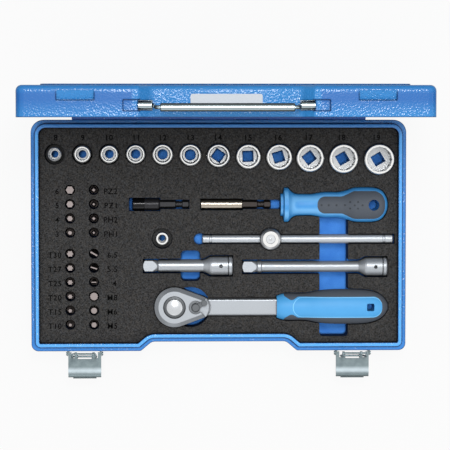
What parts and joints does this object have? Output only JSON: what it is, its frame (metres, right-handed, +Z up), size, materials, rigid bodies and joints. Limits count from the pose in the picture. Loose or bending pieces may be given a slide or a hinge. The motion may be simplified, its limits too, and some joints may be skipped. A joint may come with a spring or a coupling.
{
  "type": "socket wrench set in case",
  "caption": "Hinged sheet-steel case with fold-down handle and toggle latches; a foam inlay holds ratchet, sockets, extensions, T-handle, bit holders, driver handle and bits.",
  "frame": {"origin": "centre of the tray's underside, where the case stands", "axes": "+X to the right along the front, +Y to the hinge at the back, +Z up"},
  "size_m": [0.321, 0.2508, 0.2566],
  "materials": {
    "blue_enamel": "textured stove enamel",
    "hinge_paint": "dark blue paint",
    "bright_steel": "polished nickel",
    "zinc_steel": "zinc plated",
    "label": "plain white",
    "blue_foam": "closed-cell foam",
    "black_foam": "closed-cell foam",
    "grey_foam": "open foam",
    "satin_chrome": "satin chrome",
    "bit_steel": "phosphated tool steel",
    "black_steel": "blackened steel",
    "stainless": "turned stainless steel",
    "blue_plastic": "moulded",
    "grey_rubber": "soft moulded"
  },
  "bodies": {
    "case": {"case_tray": "blue_enamel", "hinge_leaf_tray": "hinge_paint", "hinge_pin": "zinc_steel", "latch_bases": "zinc_steel", "latch_rivets": "zinc_steel", "foam_top": "black_foam", "foam_base_sockets": "blue_foam", "foam_base_bits": "blue_foam", "foam_base_holders": "blue_foam", "foam_base_bars": "blue_foam", "foam_base_ratchet": "blue_foam"},
    "lid": {"case_lid": "blue_enamel", "hinge_leaf_lid": "hinge_paint", "handle_brackets": "bright_steel", "label_plate": "label", "lid_pad": "grey_foam"},
    "carry_handle": {"handle_wire": "bright_steel", "handle_grip": "bright_steel"},
    "lever_left": {"latch_lever_left": "zinc_steel"},
    "bail_left": {"latch_bail_left": "zinc_steel"},
    "lever_right": {"latch_lever_right": "zinc_steel"},
    "bail_right": {"latch_bail_right": "zinc_steel"},
    "socket_8": {"socket_8": "satin_chrome"},
    "socket_9": {"socket_9": "satin_chrome"},
    "socket_10": {"socket_10": "satin_chrome"},
    "socket_11": {"socket_11": "satin_chrome"},
    "socket_12": {"socket_12": "satin_chrome"},
    "socket_13": {"socket_13": "satin_chrome"},
    "socket_14": {"socket_14": "satin_chrome"},
    "socket_15": {"socket_15": "satin_chrome"},
    "socket_16": {"socket_16": "satin_chrome"},
    "socket_17": {"socket_17": "satin_chrome"},
    "socket_18": {"socket_18": "satin_chrome"},
    "socket_19": {"socket_19": "satin_chrome"},
    "hex_bits": {"hex_bits": "bit_steel"},
    "torx_bits": {"torx_bits": "bit_steel"},
    "pozidriv_bits": {"pozidriv_bits": "bit_steel"},
    "phillips_bits": {"phillips_bits": "bit_steel"},
    "slotted_bits": {"slotted_bits": "bit_steel"},
    "spline_bits": {"spline_bits": "bit_steel"},
    "bit_adaptor": {"bit_adaptor": "satin_chrome"},
    "t_head": {"t_handle_head": "satin_chrome"},
    "t_bar": {"t_handle_bar": "satin_chrome"},
    "extension_short": {"extension_short": "satin_chrome"},
    "extension_long": {"extension_long": "satin_chrome"},
    "quick_holder": {"quick_holder_body": "black_steel"},
    "quick_sleeve": {"quick_holder_sleeve": "black_steel"},
    "magnet_holder": {"magnet_holder_body": "bit_steel", "magnet_holder_sleeve": "stainless"},
    "driver": {"driver_handle": "blue_plastic", "driver_grip": "grey_rubber", "driver_socket": "black_steel"},
    "ratchet": {"ratchet_body": "satin_chrome", "ratchet_cover": "satin_chrome", "ratchet_handle": "blue_plastic", "ratchet_grip": "grey_rubber"},
    "ratchet_drive": {"ratchet_gear": "satin_chrome"},
    "ratchet_release": {"ratchet_button": "satin_chrome"},
    "ratchet_switch": {"ratchet_lever": "satin_chrome"},
    "ratchet_pawl": {"ratchet_pawl": "bit_steel"}
  },
  "joints": [
    {"name": "lid_hinge", "type": "hinge", "parent": "case", "child": "lid", "pos_m": [0, 0.1014, 0.0341], "axis": [-1, 0, 0], "range_deg": [-90, 0]},
    {"name": "handle_fold", "type": "hinge", "parent": "lid", "child": "carry_handle", "pos_m": [0, 0.1106, 0.2305], "axis": [-1, 0, 0], "range_deg": [-86, 4]},
    {"name": "latch_left", "type": "hinge", "parent": "case", "child": "lever_left", "pos_m": [-0.1153, -0.1018, 0.028], "axis": [-1, 0, 0], "range_deg": [-90, 0]},
    {"name": "bail_left", "type": "hinge", "parent": "lever_left", "child": "bail_left", "pos_m": [-0.1153, -0.1044, 0.0271], "axis": [1, 0, 0], "range_deg": [-86, 0]},
    {"name": "latch_right", "type": "hinge", "parent": "case", "child": "lever_right", "pos_m": [0.1153, -0.1018, 0.028], "axis": [-1, 0, 0], "range_deg": [-90, 0]},
    {"name": "bail_right", "type": "hinge", "parent": "lever_right", "child": "bail_right", "pos_m": [0.1153, -0.1044, 0.0271], "axis": [1, 0, 0], "range_deg": [-86, 0]},
    {"name": "lift_socket_8", "type": "slide", "parent": "case", "child": "socket_8", "axis": [0, 0, 1], "range_m": [0, 0.045]},
    {"name": "lift_socket_9", "type": "slide", "parent": "case", "child": "socket_9", "axis": [0, 0, 1], "range_m": [0, 0.045]},
    {"name": "lift_socket_10", "type": "slide", "parent": "case", "child": "socket_10", "axis": [0, 0, 1], "range_m": [0, 0.045]},
    {"name": "lift_socket_11", "type": "slide", "parent": "case", "child": "socket_11", "axis": [0, 0, 1], "range_m": [0, 0.045]},
    {"name": "lift_socket_12", "type": "slide", "parent": "case", "child": "socket_12", "axis": [0, 0, 1], "range_m": [0, 0.045]},
    {"name": "lift_socket_13", "type": "slide", "parent": "case", "child": "socket_13", "axis": [0, 0, 1], "range_m": [0, 0.045]},
    {"name": "lift_socket_14", "type": "slide", "parent": "case", "child": "socket_14", "axis": [0, 0, 1], "range_m": [0, 0.045]},
    {"name": "lift_socket_15", "type": "slide", "parent": "case", "child": "socket_15", "axis": [0, 0, 1], "range_m": [0, 0.045]},
    {"name": "lift_socket_16", "type": "slide", "parent": "case", "child": "socket_16", "axis": [0, 0, 1], "range_m": [0, 0.045]},
    {"name": "lift_socket_17", "type": "slide", "parent": "case", "child": "socket_17", "axis": [0, 0, 1], "range_m": [0, 0.045]},
    {"name": "lift_socket_18", "type": "slide", "parent": "case", "child": "socket_18", "axis": [0, 0, 1], "range_m": [0, 0.045]},
    {"name": "lift_socket_19", "type": "slide", "parent": "case", "child": "socket_19", "axis": [0, 0, 1], "range_m": [0, 0.045]},
    {"name": "lift_hex_bits", "type": "slide", "parent": "case", "child": "hex_bits", "axis": [0, 0, 1], "range_m": [0, 0.035]},
    {"name": "lift_torx_bits", "type": "slide", "parent": "case", "child": "torx_bits", "axis": [0, 0, 1], "range_m": [0, 0.035]},
    {"name": "lift_pozidriv_bits", "type": "slide", "parent": "case", "child": "pozidriv_bits", "axis": [0, 0, 1], "range_m": [0, 0.035]},
    {"name": "lift_phillips_bits", "type": "slide", "parent": "case", "child": "phillips_bits", "axis": [0, 0, 1], "range_m": [0, 0.035]},
    {"name": "lift_slotted_bits", "type": "slide", "parent": "case", "child": "slotted_bits", "axis": [0, 0, 1], "range_m": [0, 0.035]},
    {"name": "lift_spline_bits", "type": "slide", "parent": "case", "child": "spline_bits", "axis": [0, 0, 1], "range_m": [0, 0.035]},
    {"name": "lift_bit_adaptor", "type": "slide", "parent": "case", "child": "bit_adaptor", "axis": [0, 0, 1], "range_m": [0, 0.04]},
    {"name": "lift_t_handle", "type": "slide", "parent": "case", "child": "t_head", "axis": [0, 0, 1], "range_m": [0, 0.05]},
    {"name": "t_bar_slide", "type": "slide", "parent": "t_head", "child": "t_bar", "axis": [1, 0, 0], "range_m": [-0.006, 0.001]},
    {"name": "lift_extension_short", "type": "slide", "parent": "case", "child": "extension_short", "axis": [0, 0, 1], "range_m": [0, 0.04]},
    {"name": "lift_extension_long", "type": "slide", "parent": "case", "child": "extension_long", "axis": [0, 0, 1], "range_m": [0, 0.04]},
    {"name": "lift_quick_holder", "type": "slide", "parent": "case", "child": "quick_holder", "axis": [0, 0, 1], "range_m": [0, 0.03]},
    {"name": "quick_sleeve_slide", "type": "slide", "parent": "quick_holder", "child": "quick_sleeve", "axis": [-1, 0, 0], "range_m": [0, 0.0026]},
    {"name": "lift_magnet_holder", "type": "slide", "parent": "case", "child": "magnet_holder", "axis": [0, 0, 1], "range_m": [0, 0.03]},
    {"name": "lift_driver", "type": "slide", "parent": "case", "child": "driver", "axis": [0, 0, 1], "range_m": [0, 0.045]},
    {"name": "lift_ratchet", "type": "slide", "parent": "case", "child": "ratchet", "axis": [0, 0, 1], "range_m": [0, 0.05]},
    {"name": "drive_spin", "type": "hinge", "parent": "ratchet", "child": "ratchet_drive", "pos_m": [-0.0382, -0.0615, 0.03], "axis": [0, 0, 1], "continuous": true},
    {"name": "release_button", "type": "slide", "parent": "ratchet_drive", "child": "ratchet_release", "axis": [0, 0, -1], "range_m": [0, 0.0016], "stiffness_N_per_m": 400, "springref_m": -0.001},
    {"name": "reversing_lever", "type": "hinge", "parent": "ratchet", "child": "ratchet_switch", "pos_m": [-0.0201, -0.0615, 0.03], "axis": [0, 0, 1], "range_deg": [-60, 0]},
    {"name": "pawl_rock", "type": "hinge", "parent": "ratchet", "child": "ratchet_pawl", "pos_m": [-0.0201, -0.0615, 0.03], "axis": [0, 0, 1], "range_deg": [0, 10]}
  ],
  "couplings": [
    {"joint": "bail_left", "follows": "latch_left", "ratio": 0.95556},
    {"joint": "bail_right", "follows": "latch_right", "ratio": 0.95556},
    {"joint": "pawl_rock", "follows": "reversing_lever", "ratio": -0.16667}
  ]
}
